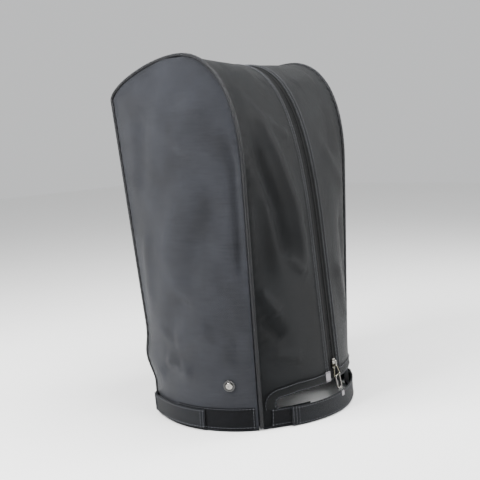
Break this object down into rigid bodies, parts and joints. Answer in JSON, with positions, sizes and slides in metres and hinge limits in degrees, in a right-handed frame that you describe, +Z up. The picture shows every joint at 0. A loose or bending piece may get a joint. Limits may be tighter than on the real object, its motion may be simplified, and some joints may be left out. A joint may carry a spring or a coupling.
{
  "type": "golf bag rain hood",
  "caption": "Open-bottomed fabric hood with an arched piped top, a long front zip, a handle slot with a closing strap, side straps and press studs.",
  "frame": {"origin": "centre of the rim's bounding box, on the plane the rim stands on", "axes": "+Z up along the hood, -Y to the front with the zip and the handle slot, +X to the right seen from behind"},
  "size_m": [0.298, 0.2732, 0.4721],
  "materials": {
    "side_fabric": "coated polyester Oxford, charcoal",
    "gusset_fabric": "coated polyester Oxford, charcoal",
    "piping": "fabric-covered cord",
    "binding": "folded binding tape",
    "zip_tape": "woven polyester tape",
    "zip_coil": "nylon coil, black",
    "zip_metal": "polished nickel plate",
    "pull_nickel": "black-nickel plated wire",
    "facing": "coated polyester Oxford, charcoal",
    "woven_tab": "woven ribbon, light grey",
    "loop_pile": "loop pile tape",
    "hook_tape": "moulded hook tape",
    "strap_fabric": "coated polyester Oxford, charcoal",
    "stud_washer": "black enamel",
    "stud_nickel": "nickel plate"
  },
  "bodies": {
    "hood": {"side_panel_left": "side_fabric", "side_panel_right": "side_fabric", "gusset_front_left": "gusset_fabric", "gusset_front_right": "gusset_fabric", "gusset_back": "gusset_fabric", "piping_left": "piping", "piping_right": "piping", "seam_binding_left": "binding", "seam_binding_right": "binding", "hem_binding_left": "binding", "hem_binding_right": "binding", "hem_binding_back": "binding", "hem_binding_front_left": "binding", "hem_binding_front_right": "binding", "zip_tape_left": "zip_tape", "zip_tape_right": "zip_tape", "zip_coil_left": "zip_coil", "zip_coil_right": "zip_coil", "zip_front_stops": "zip_metal", "zip_back_stop": "zip_metal", "slot_facing_left": "facing", "slot_facing_right": "facing", "woven_label": "woven_tab", "front_loop_patch": "loop_pile", "front_strap_root": "strap_fabric", "side_loop_patch_left": "loop_pile", "side_loop_patch_right": "loop_pile", "side_strap_root_left": "strap_fabric", "side_strap_root_right": "strap_fabric", "stud_washers": "stud_washer", "stud_caps": "stud_nickel", "stud_sockets": "stud_nickel"},
    "slider": {"slider_body": "zip_metal", "slider_bridge": "zip_metal"},
    "link": {"pull_link": "pull_nickel"},
    "loop": {"pull_loop": "zip_metal"},
    "front_strap": {"front_strap": "strap_fabric", "front_strap_hem": "binding", "front_strap_hook": "hook_tape", "strap_tab": "woven_tab"},
    "strap_left": {"side_strap_left": "strap_fabric", "side_strap_hook_left": "hook_tape"},
    "strap_right": {"side_strap_right": "strap_fabric", "side_strap_hook_right": "hook_tape"}
  },
  "joints": [
    {"name": "zip_slide", "type": "slide", "parent": "hood", "child": "slider", "axis": [0, 0.0922, 0.9957], "range_m": [0, 0.1706]},
    {"name": "link_swing", "type": "hinge", "parent": "slider", "child": "link", "pos_m": [0, -0.12804, 0.06061], "axis": [-0.9816, -0.0176, -0.19], "range_deg": [0, 150]},
    {"name": "loop_swing", "type": "hinge", "parent": "link", "child": "loop", "pos_m": [0.00271, -0.12933, 0.04673], "axis": [-0.9816, -0.0176, -0.19], "range_deg": [0, 45]},
    {"name": "front_strap_swing", "type": "hinge", "parent": "hood", "child": "front_strap", "pos_m": [0.07985, -0.10889, 0.0126], "axis": [0, 0.0117, 0.9999], "range_deg": [0, 120]},
    {"name": "strap_left_swing", "type": "hinge", "parent": "hood", "child": "strap_left", "pos_m": [-0.12689, 0.07746, 0.0156], "axis": [0.0865, -0.0624, -0.9943], "range_deg": [0, 110]},
    {"name": "strap_right_swing", "type": "hinge", "parent": "hood", "child": "strap_right", "pos_m": [0.12689, 0.07746, 0.0156], "axis": [0.0865, 0.0624, 0.9943], "range_deg": [0, 110]}
  ]
}
